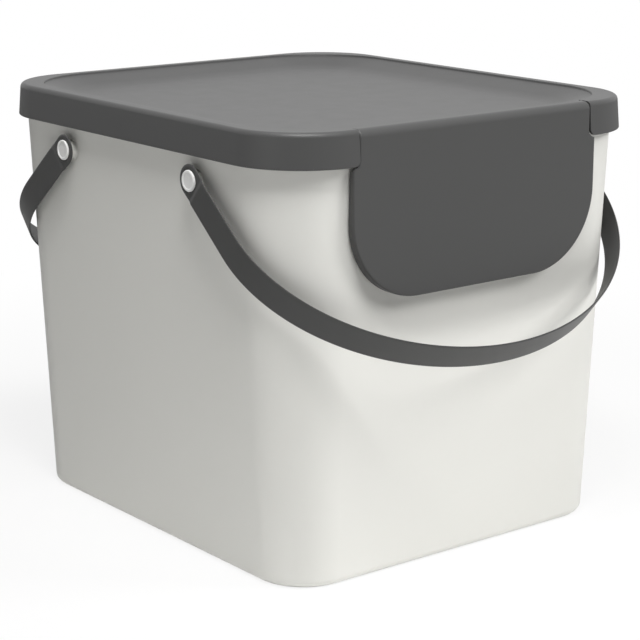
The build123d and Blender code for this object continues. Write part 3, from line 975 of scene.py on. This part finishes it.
def make_floor():
    half = FLOOR_SIZE / 2
    shape = bmesh.new()
    corners = [(-half, -half), (half, -half), (half, half), (-half, half)]
    shape.faces.new([shape.verts.new((x, y, 0)) for x, y in corners])
    floor = as_object("studio_floor", shape)
    paint = bpy.data.materials.new("studio_floor_paint")
    paint.use_nodes = True
    nodes = paint.node_tree.nodes
    link = paint.node_tree.links.new
    nodes.clear()
    out = nodes.new("ShaderNodeOutputMaterial")
    lit = nodes.new("ShaderNodeBsdfDiffuse")
    lit.inputs["Color"].default_value = FLOOR_COLOUR
    glow = nodes.new("ShaderNodeEmission")
    glow.inputs["Color"].default_value = WHITE
    # pure white away from the bin, and a little shade close to it
    place = nodes.new("ShaderNodeTexCoord")
    away = nodes.new("ShaderNodeVectorMath")
    away.operation = "LENGTH"
    link(place.outputs["Object"], away.inputs[0])
    level = nodes.new("ShaderNodeMapRange")
    level.interpolation_type = "SMOOTHSTEP"
    level.inputs["From Min"].default_value = GLOW_FROM
    level.inputs["From Max"].default_value = GLOW_TO
    level.inputs["To Min"].default_value = FLOOR_GLOW
    level.inputs["To Max"].default_value = 1
    link(away.outputs["Value"], level.inputs["Value"])
    rays = nodes.new("ShaderNodeLightPath")
    share = nodes.new("ShaderNodeMath")
    share.operation = "MULTIPLY"
    link(rays.outputs["Is Camera Ray"], share.inputs[0])
    link(level.outputs["Result"], share.inputs[1])
    mix = nodes.new("ShaderNodeMixShader")
    link(share.outputs[0], mix.inputs[0])
    link(lit.outputs[0], mix.inputs[1])
    link(glow.outputs[0], mix.inputs[2])
    link(mix.outputs[0], out.inputs[0])
    floor.data.materials.append(paint)


def make_surround():
    world = bpy.data.worlds.new("studio_surround")
    bpy.context.scene.world = world
    world.use_nodes = True
    nodes = world.node_tree.nodes
    link = world.node_tree.links.new
    nodes.clear()
    out = nodes.new("ShaderNodeOutputWorld")
    soft = nodes.new("ShaderNodeBackground")
    soft.inputs["Color"].default_value = WHITE
    soft.inputs["Strength"].default_value = SURROUND_STRENGTH
    plain = nodes.new("ShaderNodeBackground")
    plain.inputs["Color"].default_value = WHITE
    plain.inputs["Strength"].default_value = 1
    rays = nodes.new("ShaderNodeLightPath")
    seen = nodes.new("ShaderNodeMath")
    seen.operation = "MAXIMUM"
    link(rays.outputs["Is Camera Ray"], seen.inputs[0])
    link(rays.outputs["Is Glossy Ray"], seen.inputs[1])
    through = nodes.new("ShaderNodeMath")
    through.operation = "MAXIMUM"
    link(seen.outputs[0], through.inputs[0])
    link(rays.outputs["Is Transmission Ray"], through.inputs[1])
    mix = nodes.new("ShaderNodeMixShader")
    link(through.outputs[0], mix.inputs[0])
    link(soft.outputs[0], mix.inputs[1])
    link(plain.outputs[0], mix.inputs[2])
    link(mix.outputs[0], out.inputs[0])


def make_lamp(name, place, size, power, mirrored=True):
    # a lamp that isn't mirrored adds no glare to a surface that is seen from the far side
    light = bpy.data.lights.new(name, "AREA")
    light.shape = "SQUARE"
    light.size = size
    light.energy = power
    lamp = bpy.data.objects.new(name, light)
    lamp.location = place
    towards = Vector(LAMPS_AIM) - Vector(place)
    lamp.rotation_euler = towards.to_track_quat("-Z", "Y").to_euler()
    lamp.visible_glossy = mirrored
    bpy.context.scene.collection.objects.link(lamp)


make_floor()
make_surround()
make_lamp("right_softbox", (1.4, -1.4, 1.5), size=0.8, power=30, mirrored=False)
make_lamp("front_softbox", (-0.3, -1.2, 2.0), size=0.8, power=10)
make_lamp("left_softbox", (-2.4, -0.4, 0.6), size=1.2, power=3.7)
make_lamp("corner_softbox", (-0.38, -0.48, 1.3), size=0.3, power=9)
make_lamp("top_softbox", (-0.45, 0.0, 1.9), size=0.8, power=5)

# Camera, at the photograph's place
CAMERA_PLACE = (-0.984461, -1.266476, 0.552555)
CAMERA_AZIMUTH = radians(-38.076)
CAMERA_ELEVATION = radians(14.170)
CAMERA_LENS = 113.149
SENSOR_WIDTH = 36

eye = bpy.data.cameras.new("camera")
eye.lens = CAMERA_LENS
eye.sensor_width = SENSOR_WIDTH
camera = bpy.data.objects.new("camera", eye)
camera.location = CAMERA_PLACE
camera.rotation_euler = (radians(90) - CAMERA_ELEVATION, 0, CAMERA_AZIMUTH)
bpy.context.scene.collection.objects.link(camera)
bpy.context.scene.camera = camera
bpy.context.scene.view_settings.view_transform = "Standard"
